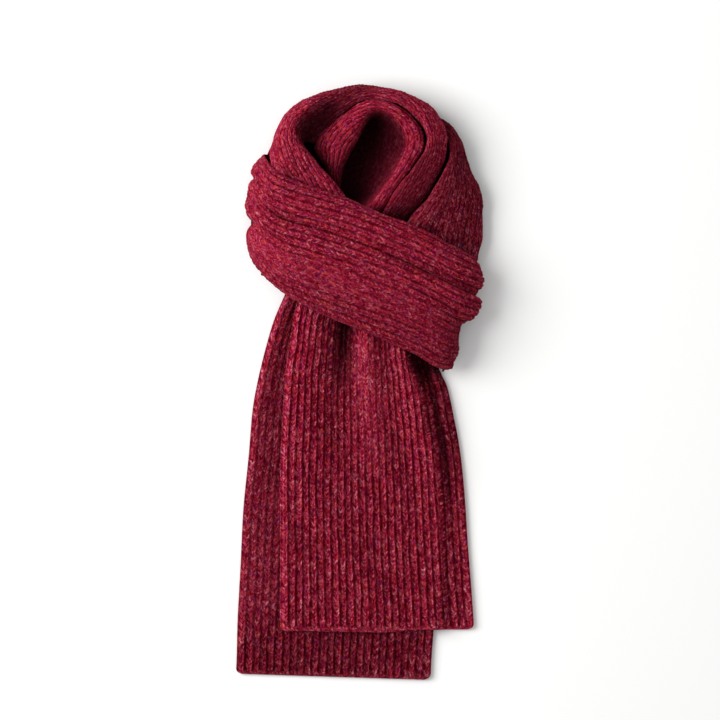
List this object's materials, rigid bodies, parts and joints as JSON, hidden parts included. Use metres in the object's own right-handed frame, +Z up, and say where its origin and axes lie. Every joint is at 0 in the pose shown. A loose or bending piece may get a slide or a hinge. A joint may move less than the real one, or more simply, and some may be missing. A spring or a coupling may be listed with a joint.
{
  "type": "knit scarf",
  "caption": "Thick ribbed knit scarf wound into a neck loop with a band across it, laid flat with both tails running down together.",
  "frame": {"origin": "on the surface that the scarf lies on, below the middle of its box", "axes": "+X across the scarf, +Y along it towards the neck loop, +Z up out of the surface"},
  "size_m": [0.2728, 0.6546, 0.0707],
  "materials": {
    "marled_wool": "matt brushed wool rib, crimson with flecks of purple, pink and orange"
  },
  "bodies": {
    "root": {"cross_band": "marled_wool", "outer_loop": "marled_wool", "inner_loop": "marled_wool", "right_limb": "marled_wool", "tail_back": "marled_wool", "tail_front": "marled_wool", "hidden_layers": "marled_wool"}
  },
  "joints": []
}
